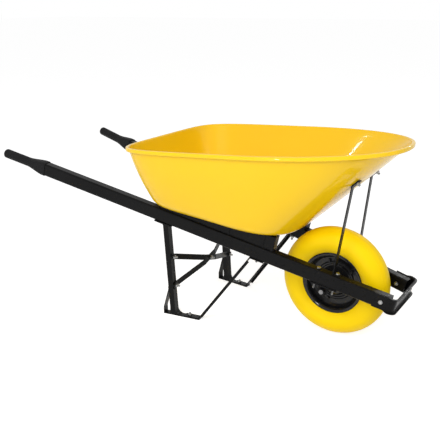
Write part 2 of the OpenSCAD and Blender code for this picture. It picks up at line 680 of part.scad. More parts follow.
guard_in = rail_w / 2 + fit_gap;
guard_side = [rail_plan(guard_back, -guard_in), rail_plan(guard_back + 10, -guard_in)];
guard_dir = 90 - rail_yaw;
guard_end = guard_front - guard_turn;
guard_corner_s = (guard_end + (guard_turn - guard_in) * sin(rail_yaw)) / cos(rail_yaw);
guard_corner_y = rail_plan(guard_corner_s, -guard_in)[1];
guard_c = [guard_end, guard_corner_y + guard_turn * cos(rail_yaw)];
guard_half = concat([guard_side[0]], arc_pts(guard_c, guard_turn, -guard_dir, 0, 8));
guard_path = concat(guard_half, [for (i = [len(guard_half) - 1:-1:0]) [guard_half[i][0], -guard_half[i][1]]]);

guard_split = guard_end - guard_mouth;
module guard_part(front) deck() translate([front ? guard_split : guard_split - 200, -300, -100])
    cube([200, 600, 200]);

// a channel with lips across the front, and plain arms no deeper than the handles
module nose_guard() color(black) difference() {
    union() {
        intersection() {
            guard_part(true);
            deck() translate([0, 0, guard_low]) {
                linear_extrude(guard_h) polygon(strip(guard_path, 0, -guard_t));
                for (z = [0, guard_h - guard_t]) translate([0, 0, z])
                    linear_extrude(guard_t) polygon(strip(guard_path, 0, -guard_t - guard_lip));
            }
        }
        intersection() {
            guard_part(false);
            deck() translate([0, 0, -rail_top]) {
                linear_extrude(rail_h + guard_over) polygon(strip(guard_path, 0, -guard_t));
            }
        }
    }
    for (side = [-1, 1]) rail(side) translate([guard_bolt_s, 0, 0]) rotate([90, 0, 0])
        cylinder(h = 100, r = bolt_r + hole_gap, center = true);
}

module guard_bolts() color(zinc) for (side = [-1, 1]) rail(side)
    translate([guard_bolt_s, -guard_in - guard_t, 0]) rotate([90, 0, 0]) {
        dome(small_dome_r, small_dome_sink);
        translate([0, 0, -rail_w - guard_t - 13]) cylinder(h = rail_w + guard_t + 14, r = bolt_r);
    }
module guard_nuts() color(zinc) for (side = [-1, 1]) rail(side) translate([guard_bolt_s, rail_w / 2, 0])
    rotate([-90, 0, 0]) nut(nut_t);

// ---- straps from the handles to the tray's front wall ----

strap_foot = rail_at(axle_bolt_s[1] - strap_foot_tab, 0, rail_top + strap_t / 2);
strap_head = strap_p - strap_ex * strap_tab + strap_ez * (strap_gap + strap_t / 2);
strap_run = unit(strap_head - strap_foot);
strap_len = norm(strap_head - strap_foot);
strap_side = unit(cross([-strap_run[2], 0, strap_run[0]], strap_run));
strap_back = cross(strap_run, strap_side);

module tray_brace(side) color(black) difference() {
    union() {
        rail(side) translate([axle_bolt_s[1] - strap_foot_tab - strap_t / 2, -strap_w / 2, rail_top])
            cube([strap_foot_tab + 12, strap_w, strap_t]);
        on_side(side) placed(strap_foot, strap_run, strap_side, strap_back)
            translate([-strap_t / 2, -strap_w / 2, -strap_t / 2])
                cube([strap_len + strap_t, strap_w, strap_t]);
        on_strap(side) translate([-strap_tab - strap_t / 2, -strap_w / 2, strap_gap])
            cube([strap_tab + 13, strap_w, strap_t]);
    }
    rail(side) translate([axle_bolt_s[1], 0, rail_top - 5]) cylinder(h = 20, r = bolt_r + hole_gap);
    on_strap(side) cylinder(h = 30, r = bolt_r + hole_gap, center = true);
    rail(side) translate([-200, -60, rail_top - 60]) cube([400, 120, 60]);
}

strap_head_z = -tray_t - 0.6;
module strap_bolts() color(zinc) for (side = [-1, 1]) on_strap(side) {
    translate([0, 0, strap_head_z]) mirror([0, 0, 1]) dome(small_dome_r, small_dome_sink);
    translate([0, 0, strap_head_z - 1]) cylinder(h = tray_t + strap_gap + strap_t + nut_t + 7, r = bolt_r);
}
module strap_nuts() color(zinc) for (side = [-1, 1]) on_strap(side)
    translate([0, 0, strap_gap + strap_t]) nut(nut_t);

tray();
handle(1);  // handle_left
handle(-1);  // handle_right
grip(1);  // grip_left
grip(-1);  // grip_right
riser(1);  // riser_left
riser(-1);  // riser_right
leg(1);  // leg_left
leg(-1);  // leg_right
strut(1);  // strut_left
strut(-1);  // strut_right
leg_brace_a();
leg_brace_b();
nose_guard();
tray_brace(1);  // tray_brace_left
tray_brace(-1);  // tray_brace_right
axle_bracket(1);  // axle_bracket_left
axle_bracket(-1);  // axle_bracket_right
axle();
axle_spacer(1);  // axle_spacer_left
axle_spacer(-1);  // axle_spacer_right
axle_nuts();
axle_bolts();
axle_bolt_nuts();
tray_bolts();
tray_nuts();
leg_bolts();
leg_nuts();
foot_studs();
foot_nuts();
brace_bolts();
brace_nuts();
guard_bolts();
guard_nuts();
strap_bolts();
strap_nuts();
tyre();
rim(1);  // rim_left
rim(-1);  // rim_right
hub();
bearing(1);  // bearing_left
bearing(-1);  // bearing_right
rim_bolts();
rim_nuts();
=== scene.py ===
# Wheelbarrow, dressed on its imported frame. Metres, +X towards the wheel, +Y to the left, +Z up.
import json
import math

import bmesh
import bpy
import numpy as np
from mathutils import Matrix, Vector


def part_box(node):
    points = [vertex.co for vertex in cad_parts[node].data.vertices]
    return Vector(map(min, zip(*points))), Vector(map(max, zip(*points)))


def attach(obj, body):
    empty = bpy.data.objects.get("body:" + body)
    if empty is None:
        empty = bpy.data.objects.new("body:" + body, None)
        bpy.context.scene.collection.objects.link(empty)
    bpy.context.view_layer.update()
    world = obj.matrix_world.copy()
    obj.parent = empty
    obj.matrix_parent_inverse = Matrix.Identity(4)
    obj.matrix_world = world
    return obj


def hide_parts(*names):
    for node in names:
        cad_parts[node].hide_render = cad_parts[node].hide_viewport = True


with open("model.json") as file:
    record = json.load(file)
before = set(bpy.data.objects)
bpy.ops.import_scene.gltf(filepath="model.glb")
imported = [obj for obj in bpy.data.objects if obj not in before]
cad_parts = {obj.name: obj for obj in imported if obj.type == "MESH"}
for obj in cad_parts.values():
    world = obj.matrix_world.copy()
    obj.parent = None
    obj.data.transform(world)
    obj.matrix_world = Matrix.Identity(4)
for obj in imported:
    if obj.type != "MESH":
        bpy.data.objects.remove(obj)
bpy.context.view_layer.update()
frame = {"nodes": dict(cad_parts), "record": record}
mm = 0.001
world = bpy.context.scene.world or bpy.data.worlds.new("studioWorld")
print("frame loaded:", len(frame["nodes"]), "nodes")

# ---- where things are, as the frame has them ----
lay = {
    "deckTilt": math.radians(13.2),    # handles fall this much towards the wheel
    "railYaw": math.radians(7.2),      # and close in this much
    "axleDrop": 0.052,
    "railGap": 0.228,
    "railHeight": 0.050,
    "railWidth": 0.036,
    "railBack": 1.210,
    "legX": -0.570,
    "legOff": 0.005,
    "legLean": math.radians(3.5),
    "footBend": 0.026,
    "legSheet": 0.003,
    "braceHigh": 0.237,
    "braceLow": 0.121,
    "braceOut": 0.038,
    "braceSheet": 0.0036,
}
axleLow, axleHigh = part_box("axle")
axle = (axleLow + axleHigh) / 2
deckX = lay["axleDrop"] * math.sin(lay["deckTilt"])
deckZ = axle.z + lay["axleDrop"] * math.cos(lay["deckTilt"])
railTop = lay["railHeight"] / 2
railY = lay["railGap"] / 2
plumbYaw = math.atan(math.tan(lay["railYaw"]) / math.cos(lay["deckTilt"]))
legY = railY - (lay["legX"] - deckX) * math.tan(plumbYaw) + lay["legOff"] / math.cos(plumbYaw)


def sideFlip(side):
    return Matrix.Diagonal((1, -1, 1, 1)) if side > 0 else Matrix.Identity(4)


def railFrame(side):    # x along the handle, y towards the middle, z square to its top
    return (sideFlip(side) @ Matrix.Translation((axle.x + deckX, 0, deckZ))
            @ Matrix.Rotation(lay["deckTilt"], 4, "Y") @ Matrix.Translation((0, -railY, 0))
            @ Matrix.Rotation(lay["railYaw"], 4, "Z"))


def postFrame(side):    # x along the handle but level, z straight up from the ground
    return (sideFlip(side) @ Matrix.Translation((axle.x + lay["legX"], -legY, 0))
            @ Matrix.Rotation(plumbYaw, 4, "Z"))


# ---- mesh helpers ----
def meshObject(name, verts, faces):
    mesh = bpy.data.meshes.new(name)
    mesh.from_pydata([tuple(v) for v in verts], [], faces)
    mesh.update()
    piece = bpy.data.objects.new(name, mesh)
    bpy.context.collection.objects.link(piece)
    return piece


def tidyMesh(piece, sharpAngle=38, mergeBy=1e-6):
    work = bmesh.new()
    work.from_mesh(piece.data)
    bmesh.ops.remove_doubles(work, verts=work.verts, dist=mergeBy)
    bmesh.ops.recalc_face_normals(work, faces=work.faces)
    work.to_mesh(piece.data)
    work.free()
    piece.data.shade_smooth()
    piece.data.set_sharp_from_angle(angle=math.radians(sharpAngle))
    piece.data.update()
    return piece


def place(piece, body, slotName, material, *nodes):
    piece.data.materials.clear()
    piece.data.materials.append(material)
    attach(piece, body)
    if nodes:
        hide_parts(*nodes)
    return piece


def chaikin(points, rounds=2):    # rounds a path's corners and keeps its ends
    pts = [np.array(p, float) for p in points]
    for _ in range(rounds):
        cut = [pts[0]]
        for a, b in zip(pts[:-1], pts[1:]):
            cut += [a * 0.75 + b * 0.25, a * 0.25 + b * 0.75]
        pts = cut + [pts[-1]]
    return pts


def roundPath(points, radius, steps=5):    # arcs of one radius at the inner corners of a path
    pts = [np.array(p, float) for p in points]
    out = [pts[0]]
    for a, b, c in zip(pts[:-2], pts[1:-1], pts[2:]):
        u, v = (a - b) / np.linalg.norm(a - b), (c - b) / np.linalg.norm(c - b)
        half = math.acos(max(-1, min(1, float(u @ v)))) / 2
        back = min(radius / math.tan(half), 0.45 * np.linalg.norm(a - b), 0.45 * np.linalg.norm(c - b))
        p, q = b + u * back, b + v * back
        for i in range(steps + 1):
            k = i / steps
            out.append((1 - k) ** 2 * p + 2 * k * (1 - k) * b + k * k * q)
    return out + [pts[-1]]


def thicken(path, thick):    # closed outline of a bent sheet
    pts = np.array(path)
    run = np.gradient(pts, axis=0)
    run /= np.linalg.norm(run, axis=1)[:, None]
    off = np.stack([-run[:, 1], run[:, 0]], 1) * thick / 2
    return np.concatenate([pts + off, (pts - off)[::-1]])


# ---- materials ----
def node(tree, kind, **values):
    made = tree.nodes.new(kind)
    for key, value in values.items():
        if hasattr(made, key):
            setattr(made, key, value)
        else:
            made.inputs[key.replace("_", " ")].default_value = value
    return made


def noiseTexture(tree, coords, scale, detail=3.0, stretch=None):
    source = coords
    if stretch:
        turn = node(tree, "ShaderNodeMapping")
        turn.inputs["Scale"].default_value = stretch
        tree.links.new(coords, turn.inputs["Vector"])
        source = turn.outputs["Vector"]
    noise = node(tree, "ShaderNodeTexNoise", Scale=scale, Detail=detail)
    tree.links.new(source, noise.inputs["Vector"])
    return noise.outputs["Fac"]


def spread(tree, value, low, high, fromLow=0.3, fromHigh=0.7):
    ramp = node(tree, "ShaderNodeMapRange")
    for socket, number in (("From Min", fromLow), ("From Max", fromHigh), ("To Min", low), ("To Max", high)):
        ramp.inputs[socket].default_value = number
    tree.links.new(value, ramp.inputs["Value"])
    return ramp.outputs["Result"]


def blendColour(tree, factor, first, second):
    mix = node(tree, "ShaderNodeMix", data_type="RGBA")
    for socket, colour in ((6, first), (7, second)):
        if hasattr(colour, "links"):
            tree.links.new(colour, mix.inputs[socket])
        else:
            mix.inputs[socket].default_value = (*colour, 1)
    tree.links.new(factor, mix.inputs[0])
    return mix.outputs[2]


def makeFinish(name, look):
    finish = bpy.data.materials.new(name)
    finish.use_nodes = True
    tree = finish.node_tree
    shader = tree.nodes["Principled BSDF"]
    coords = node(tree, "ShaderNodeTexCoord").outputs["Object"]
    drift = spread(tree, noiseTexture(tree, coords, look["driftScale"], 2.0), 0, 1)
    colour = blendColour(tree, drift, look["colour"], look["colourTo"])
    if "wear" in look:    # paler where an edge has been rubbed
        rounded = node(tree, "ShaderNodeBevel", samples=4)
        rounded.inputs["Radius"].default_value = look["wearWidth"]
        flat = node(tree, "ShaderNodeNewGeometry")
        lean = node(tree, "ShaderNodeVectorMath", operation="DOT_PRODUCT")
        tree.links.new(rounded.outputs["Normal"], lean.inputs[0])
        tree.links.new(flat.outputs["Normal"], lean.inputs[1])
        edge = spread(tree, lean.outputs["Value"], 1, 0, 0.80, 0.97)
        patches = spread(tree, noiseTexture(tree, coords, look["wearScale"], 4.0), 0, look["wearAmount"], 0.5, 0.62)
        rub = node(tree, "ShaderNodeMath", operation="MULTIPLY")
        tree.links.new(edge, rub.inputs[0])
        tree.links.new(patches, rub.inputs[1])
        colour = blendColour(tree, rub.outputs[0], colour, look["wear"])
    tree.links.new(colour, shader.inputs["Base Color"])
    rough = spread(tree, noiseTexture(tree, coords, look["roughScale"], 4.0), *look["rough"])
    tree.links.new(rough, shader.inputs["Roughness"])
    grain = noiseTexture(tree, coords, look["grainScale"], look.get("grainDetail", 2.0), look.get("stretch"))
    bump = node(tree, "ShaderNodeBump", Strength=look["grain"], Distance=look["grainDepth"])
    tree.links.new(grain, bump.inputs["Height"])
    if look.get("edge"):
        bevel = node(tree, "ShaderNodeBevel", samples=4)
        bevel.inputs["Radius"].default_value = look["edge"]
        tree.links.new(bevel.outputs["Normal"], bump.inputs["Normal"])
    tree.links.new(bump.outputs["Normal"], shader.inputs["Normal"])
    for socket in ("Metallic", "Specular IOR Level", "Coat Weight", "Coat Roughness", "IOR"):
        if socket in look:
            shader.inputs[socket].default_value = look[socket]
    return finish


finishes = {
    "trayPaint": {
        "colour": (0.885, 0.555, 0.005), "colourTo": (0.90, 0.570, 0.007), "driftScale": 3.0,
        "roughScale": 14.0, "rough": (0.16, 0.20), "grainScale": 260.0, "grain": 0.03, "grainDepth": 0.0003,
        "Specular IOR Level": 0.16, "Coat Weight": 0.25, "Coat Roughness": 0.04,
    },
    "framePaint": {
        "colour": (0.0028, 0.0028, 0.0030), "colourTo": (0.0046, 0.0046, 0.0048), "driftScale": 9.0,
        "wear": (0.10, 0.10, 0.105), "wearWidth": 0.0016, "wearScale": 60.0, "wearAmount": 0.35,
        "roughScale": 46.0, "rough": (0.22, 0.40), "grainScale": 700.0, "grain": 0.18, "grainDepth": 0.0003,
        "edge": 0.0009, "Specular IOR Level": 0.10,
    },
    "rimPaint": {
        "colour": (0.006, 0.006, 0.0065), "colourTo": (0.009, 0.009, 0.0095), "driftScale": 12.0,
        "wear": (0.08, 0.08, 0.085), "wearWidth": 0.0012, "wearScale": 70.0, "wearAmount": 0.3,
        "roughScale": 25.0, "rough": (0.08, 0.14), "grainScale": 500.0, "grain": 0.03, "grainDepth": 0.0003,
        "edge": 0.0006, "Specular IOR Level": 0.28,
    },
    "tyreRubber": {
        "colour": (0.90, 0.61, 0.0008), "colourTo": (0.92, 0.635, 0.0015), "driftScale": 6.0,
        "roughScale": 20.0, "rough": (0.38, 0.48), "grainScale": 700.0, "grain": 0.08, "grainDepth": 0.0004,
        "Specular IOR Level": 0.16,
    },
    "gripPlastic": {
        "colour": (0.0085, 0.0085, 0.009), "colourTo": (0.012, 0.012, 0.0125), "driftScale": 20.0,
        "roughScale": 40.0, "rough": (0.55, 0.68), "grainScale": 1400.0, "grain": 0.35, "grainDepth": 0.0004,
        "edge": 0.0008, "Specular IOR Level": 0.10,
    },
    "zincPlate": {
        "colour": (0.26, 0.265, 0.275), "colourTo": (0.42, 0.42, 0.41), "driftScale": 180.0,
        "wear": (0.72, 0.72, 0.72), "wearWidth": 0.0008, "wearScale": 300.0, "wearAmount": 0.8,
        "roughScale": 220.0, "rough": (0.28, 0.42), "grainScale": 2200.0, "grain": 0.10, "grainDepth": 0.0002,
        "edge": 0.0005, "Metallic": 1.0,
    },
    "axleSteel": {
        "colour": (0.16, 0.16, 0.17), "colourTo": (0.26, 0.26, 0.26), "driftScale": 90.0,
        "wear": (0.55, 0.55, 0.55), "wearWidth": 0.0012, "wearScale": 160.0, "wearAmount": 0.8,
        "roughScale": 150.0, "rough": (0.30, 0.46), "grainScale": 1500.0, "grain": 0.12, "grainDepth": 0.0002,
        "edge": 0.0009, "Metallic": 1.0,
    },
}
finish = {name: makeFinish(name, look) for name, look in finishes.items()}
print("finishes made:", len(finish))

# the frame's own nodes take these unless a piece below stands for them
slotFinish = {"tray_paint": "trayPaint", "frame_paint": "framePaint", "rim_paint": "rimPaint",
              "tyre": "tyreRubber", "grip": "gripPlastic", "zinc": "zincPlate"}
ownFinish = {"axle": "axleSteel", "axle_spacer_left": "axleSteel", "axle_spacer_right": "axleSteel"}
for part in frame["record"]["subparts"]:
    carried = frame["nodes"][part["node"]]
    carried.data.materials.clear()
    carried.data.materials.append(finish[ownFinish.get(part["node"], slotFinish[part["material_slot"]])])

# ---- tray ----
tray = {
    "around": 300,
    "rimX": -0.264, "rimAhead": 0.500, "rimBehind": 0.490, "rimHalf": 0.3109, "rimZ": 0.685,
    "rimTilt": math.radians(3.5), "rimFore": 2.2, "rimAft": 6.0, "rimTaper": 0.052,
    "baseX": -0.406, "baseAhead": 0.268, "baseBehind": 0.262, "baseHalf": 0.214,
    "baseTilt": math.radians(7.0), "baseFore": 3.4, "baseAft": 6.5, "baseTaper": 0.143,
    "floorGap": 0.0045, "seatX": -0.630, "corner": 0.030, "bowFore": 0.002, "bowAft": 0.011,
    "rimOut": 0.010, "rimDrop": 0.004, "sheet": 0.002,
}
trayLip = [(-10, -4), (-6.6, -2.5), (-3.4, -2.5), (-2, -4.2), (-2, -10.4), (-2.8, -12.2), (-4.3, -12.2),
           (-4.9, -10.9), (-6.1, -11.2), (-5.8, -13.0), (-4.4, -14.0), (-1.4, -14.0), (0, -12.2), (0, -3.2),
           (-1.0, -0.9), (-3.6, 0), (-8.8, 0), (-11.2, -1.2), (-12, -5)]


def ringAround(turn, mid, ahead, behind, half, fore, aft, taper, z, rise):
    c, s = np.cos(turn), np.sin(turn)
    n = np.where(c >= 0, fore, aft)
    k = (np.abs(c) ** n + np.abs(s) ** n) ** (-1 / n)
    x = np.where(c >= 0, ahead, behind) * c * k
    return np.stack([mid + x, half * s * k * (1 - taper * x / 0.5), z + x * rise], 1)


def unitRows(v):
    return v / np.linalg.norm(v, axis=1)[:, None]


def deckHeight(x, level):    # height of a level square to the handles, at a distance from the axle
    return deckZ + (level - (x - deckX) * math.sin(lay["deckTilt"])) / math.cos(lay["deckTilt"])


def traySurfaces(t):
    tan = math.tan(tray["baseTilt"])
    baseZ = deckHeight(tray["seatX"], railTop) + tray["floorGap"] - (tray["baseX"] - tray["seatX"]) * tan

    def rim(a):
        return ringAround(a, tray["rimX"], tray["rimAhead"], tray["rimBehind"], tray["rimHalf"],
                          tray["rimFore"], tray["rimAft"], tray["rimTaper"], tray["rimZ"], math.tan(tray["rimTilt"]))

    def base(a):
        return ringAround(a, tray["baseX"], tray["baseAhead"], tray["baseBehind"], tray["baseHalf"],
                          tray["baseFore"], tray["baseAft"], tray["baseTaper"], baseZ, -tan)

    step = math.radians(0.5)
    rimRun, baseRun = unitRows(rim(t + step) - rim(t - step)), unitRows(base(t + step) - base(t - step))
    away = unitRows(np.stack([rimRun[:, 1], -rimRun[:, 0], 0 * t], 1))
    up = np.array([0, 0, 1.0])
    top = rim(t) - tray["rimOut"] * away - tray["rimDrop"] * up
    face = unitRows(np.cross(unitRows(rimRun + baseRun), unitRows(top - base(t))))
    bow = (tray["bowFore"] + tray["bowAft"] + (tray["bowFore"] - tray["bowAft"]) * np.cos(t)) / 2
    return {"rim": rim(t), "base": base(t), "away": away, "top": top, "face": face, "bow": bow[:, None],
            "mid": np.array([tray["baseX"], 0, baseZ]),
            "floorUp": np.array([math.sin(tray["baseTilt"]), 0, math.cos(tray["baseTilt"])])}


def wallRing(f, v, inset):
    return f["base"] + (f["top"] - f["base"]) * v + f["face"] * (f["bow"] * 4 * v * (1 - v) - inset)


def cornerRing(f, k, inset):
    v = (tray["corner"] / np.linalg.norm(f["top"] - f["base"], axis=1))[:, None]
    inward = unitRows(f["base"] - f["mid"])
    miter = (f["floorUp"] - f["face"]) * inset / (1 - f["face"] @ f["floorUp"])[:, None]
    a = f["base"] - tray["corner"] * inward + f["floorUp"] * inset
    return (1 - k) ** 2 * a + 2 * k * (1 - k) * (f["base"] + miter) + k * k * wallRing(f, v, inset)


def makeTray():
    n = tray["around"]
    turn = np.arange(n) * 2 * math.pi / n
    f = traySurfaces(turn)
    length = np.linalg.norm(f["top"] - f["base"], axis=1)[:, None]
    low = tray["corner"] / length
    walls = [low + (1 - low) * k for k in np.linspace(0, 1, 13)[1:]]
    rings = [cornerRing(f, k, 0) for k in np.linspace(0, 1, 11)]
    rings += [wallRing(f, v, 0) for v in walls]
    for e, z in chaikin(trayLip)[1:-1]:
        rings.append(f["rim"] + f["away"] * e * mm + np.array([0, 0, z * mm]))
    rings += [wallRing(f, v, tray["sheet"]) for v in walls[-2::-1]]
    rings += [cornerRing(f, k, tray["sheet"]) for k in np.linspace(1, 0, 11)]
    under, over = len(rings) * n, len(rings) * n + 1
    verts = np.concatenate(rings + [f["mid"][None], (f["mid"] + f["floorUp"] * tray["sheet"])[None]])
    verts[:, 0] += axle.x
    faces = [(under, (i + 1) % n, i) for i in range(n)]
    for j in range(len(rings) - 1):
        faces += [(j * n + i, j * n + (i + 1) % n, (j + 1) * n + (i + 1) % n, (j + 1) * n + i) for i in range(n)]
    last = (len(rings) - 1) * n
    faces += [(over, last + i, last + (i + 1) % n) for i in range(n)]
    shell = tidyMesh(meshObject("trayShell", verts, faces), 60)
    return place(shell, "frame", "tray_paint", finish["trayPaint"], "tray")


makeTray()
print("tray made")


# ---- turned pieces: one node tree sweeps an outline round the axle ----
def turningTree():
    tree = bpy.data.node_groups.new("turnAround", "GeometryNodeTree")
    for name, kind, way in (("Outline", "NodeSocketGeometry", "INPUT"), ("Segments", "NodeSocketInt", "INPUT"),
                            ("Core Radius", "NodeSocketFloat", "INPUT"), ("Finish", "NodeSocketMaterial", "INPUT"),
                            ("Piece", "NodeSocketGeometry", "OUTPUT")):
        tree.interface.new_socket(name=name, in_out=way, socket_type=kind)
    given, result = node(tree, "NodeGroupInput"), node(tree, "NodeGroupOutput")
    outline = node(tree, "GeometryNodeMeshToCurve")
    circle = node(tree, "GeometryNodeCurvePrimitiveCircle", mode="RADIUS")
    sweep = node(tree, "GeometryNodeCurveToMesh")
    paint = node(tree, "GeometryNodeSetMaterial")
    real = node(tree, "GeometryNodeRealizeInstances")
    join = tree.links.new
    join(given.outputs["Outline"], outline.inputs["Mesh"])
    join(given.outputs["Segments"], circle.inputs["Resolution"])
    join(given.outputs["Core Radius"], circle.inputs["Radius"])
    join(circle.outputs["Curve"], sweep.inputs["Curve"])
    join(outline.outputs["Curve"], sweep.inputs["Profile Curve"])
    join(sweep.outputs["Mesh"], real.inputs["Geometry"])
    join(real.outputs["Geometry"], paint.inputs["Geometry"])
    join(given.outputs["Finish"], paint.inputs["Material"])
    join(paint.outputs["Geometry"], result.inputs["Piece"])
    return tree


turning = turningTree()


def applyTree(piece, tree, values):
    modifier = piece.modifiers.new("shape", "NODES")
    modifier.node_group = tree
    sockets = {s.name: s.identifier for s in tree.interface.items_tree if s.in_out == "INPUT"}
    for name, value in values.items():
        modifier[sockets[name]] = value
    bpy.context.view_layer.update()
    graph = bpy.context.evaluated_depsgraph_get()
    plain = bpy.data.meshes.new_from_object(piece.evaluated_get(graph))
    piece.modifiers.clear()
    piece.data = plain
    return piece


def turned(name, outline, material, segments=144):    # outline in mm, as (radius, distance along the axis)
    core = 0.1
    count = len(outline)
    mesh = bpy.data.meshes.new(name)
    mesh.from_pydata([(r * mm - core, -z * mm, 0) for r, z in outline], [(i, (i + 1) % count) for i in range(count)], [])
    piece = bpy.data.objects.new(name, mesh)
    bpy.context.collection.objects.link(piece)
    applyTree(piece, turning, {"Segments": segments, "Core Radius": core, "Finish": material})
    return piece


wheelFrame = Matrix.Translation(axle) @ Matrix.Rotation(math.radians(-90), 4, "X")

# ---- tyre ----
tyre = {"radius": 200, "section": 50, "bead": 102.6, "beadHalf": 27.5, "reach": 139,
        "grooves": (20, 27, 34), "grooveWide": 2.0, "grooveDeep": 1.1}


def tyreOutline():
    mid = tyre["radius"] - tyre["section"]
    marks = list(np.linspace(-tyre["reach"], tyre["reach"], 121))
    depth = {a: 0.0 for a in marks}
    halfTurn = math.degrees(tyre["grooveWide"] / 2 / tyre["section"])
    for g in tyre["grooves"]:
        for side in (-1, 1):
            depth[side * g - halfTurn] = depth[side * g + halfTurn] = 0.0
            depth[side * g] = tyre["grooveDeep"]
    arc = []
    for a in sorted(depth):
        r = tyre["section"] - depth[a]
        arc.append((mid + r * math.cos(math.radians(a)), r * math.sin(math.radians(a))))
    return arc + [(tyre["bead"], tyre["beadHalf"]), (tyre["bead"], -tyre["beadHalf"])]


ring = turned("tyreRing", tyreOutline(), finish["tyreRubber"], 180)
ring.data.transform(wheelFrame)
tidyMesh(ring, 50)
place(ring, "wheel", "tyre", finish["tyreRubber"], "tyre")
print("tyre made")

# ---- rim halves ----
rimSheet = 2.2
rimPath = [(21.2, 36), (33, 35.2), (43, 29), (50, 10), (56, 2.4), (61, 2.4), (64.5, 5.6), (69, 5.6), (72, 1.3),
           (88, 1.3), (91, 3.2), (96.5, 9), (99.5, 13), (100.4, 28.5), (104, 33), (110, 34.7), (113.2, 34.3), (113.9, 31.8)]
for side, name, node_ in ((1, "rimHalfLeft", "rim_left"), (-1, "rimHalfRight", "rim_right")):
    dish = turned(name, thicken(roundPath(rimPath, 3.0), rimSheet), finish["rimPaint"], 160)
    dish.data.transform(wheelFrame @ Matrix.Diagonal((1, 1, side, 1)))
    tidyMesh(dish, 50)
    place(dish, "wheel", "rim_paint", finish["rimPaint"], node_)
print("rims made")


# ---- fasteners: a mould for each group, set on the frame's own bolt places ----
def settingTree():
    tree = bpy.data.node_groups.new("setOnPlaces", "GeometryNodeTree")
    for name, kind, way in (("Places", "NodeSocketGeometry", "INPUT"), ("Mould", "NodeSocketObject", "INPUT"),
                            ("Size", "NodeSocketFloat", "INPUT"), ("Finish", "NodeSocketMaterial", "INPUT"),
                            ("Piece", "NodeSocketGeometry", "OUTPUT")):
        tree.interface.new_socket(name=name, in_out=way, socket_type=kind)
    given, result = node(tree, "NodeGroupInput"), node(tree, "NodeGroupOutput")
    aim = node(tree, "GeometryNodeInputNamedAttribute", data_type="FLOAT_VECTOR")
    aim.inputs["Name"].default_value = "aim"
    turn = node(tree, "FunctionNodeAlignRotationToVector", axis="Z")
    mould = node(tree, "GeometryNodeObjectInfo")
    points = node(tree, "GeometryNodeMeshToPoints")
    put = node(tree, "GeometryNodeInstanceOnPoints")
    real = node(tree, "GeometryNodeRealizeInstances")
    paint = node(tree, "GeometryNodeSetMaterial")
    join = tree.links.new
    join(given.outputs["Places"], points.inputs["Mesh"])
    join(points.outputs["Points"], put.inputs["Points"])
    join(given.outputs["Mould"], mould.inputs["Object"])
    join(mould.outputs["Geometry"], put.inputs["Instance"])
    join(aim.outputs["Attribute"], turn.inputs["Vector"])
    join(turn.outputs["Rotation"], put.inputs["Rotation"])
    join(given.outputs["Size"], put.inputs["Scale"])
    join(put.outputs["Instances"], real.inputs["Geometry"])
    join(real.outputs["Geometry"], paint.inputs["Geometry"])
    join(given.outputs["Finish"], paint.inputs["Material"])
    join(paint.outputs["Geometry"], result.inputs["Piece"])
    return tree


setting = settingTree()


def looseParts(nodeName):    # the separate solids of a frame node, as points
    work = bmesh.new()
    work.from_mesh(frame["nodes"][nodeName].data)
    bmesh.ops.remove_doubles(work, verts=work.verts, dist=1e-6)
    left, parts = set(work.verts), []
    while left:
        part, todo = [], [left.pop()]
        while todo:
            vert = todo.pop()
            part.append(tuple(vert.co))
            for edge in vert.link_edges:
                other = edge.other_vert(vert)
                if other in left:
                    left.remove(other)
                    todo.append(other)
        parts.append(np.array(part))
    work.free()
    return sorted(parts, key=lambda q: tuple(q.mean(0).round(4)))


def boltPlace(points, flat):    # tail end, aim and length of one fastener
    mid = points.mean(0)
    _, _, axes = np.linalg.svd(points - mid, full_matrices=False)
    aim = axes[2] if flat else axes[0]
    along = (points - mid) @ aim
    across = np.linalg.norm(points - mid - along[:, None] * aim, axis=1)
    middle = (along.max() + along.min()) / 2
    top = across[along > middle].max() > across[along <= middle].max() + 1e-4
    if not flat and not top:
        aim, along = -aim, -along
    return mid + aim * along.min(), aim, along.max() - along.min()


def hexOutline(z, height, radius):
    cut = 0.09 * radius
    return [(0.01, z), (radius - cut, z), (radius, z + cut * 0.6), (radius, z + height - cut * 0.6),
            (radius - cut, z + height), (0.01, z + height)]


def domeOutline(z, height, radius):
    steps = [math.radians(a) for a in range(0, 90, 10)]
    return [(0.01, z)] + [(radius * math.cos(a), z + height * math.sin(a)) for a in steps] + [(0.01, z + height)]


def studOutline(length, radius, threaded, pitch=1.25):
    path, z = [(0.01, 0), (radius - 0.9, 0)], 0.5
    while z < threaded:
        path += [(radius, z), (radius - 0.6, z + pitch / 2)]
        z += pitch
    return path + [(radius, z), (radius, length), (0.01, length)]


def makeMould(name, pieces):
    made = [turned(name, outline, None, segments) for outline, segments in pieces]
    work = bmesh.new()
    for one in made:
        work.from_mesh(one.data)
        bpy.data.objects.remove(one)
    bmesh.ops.remove_doubles(work, verts=work.verts, dist=2e-5)
    mould = bpy.data.objects.new(name, bpy.data.meshes.new(name))
    work.to_mesh(mould.data)
    work.free()
    bpy.context.collection.objects.link(mould)
    return mould


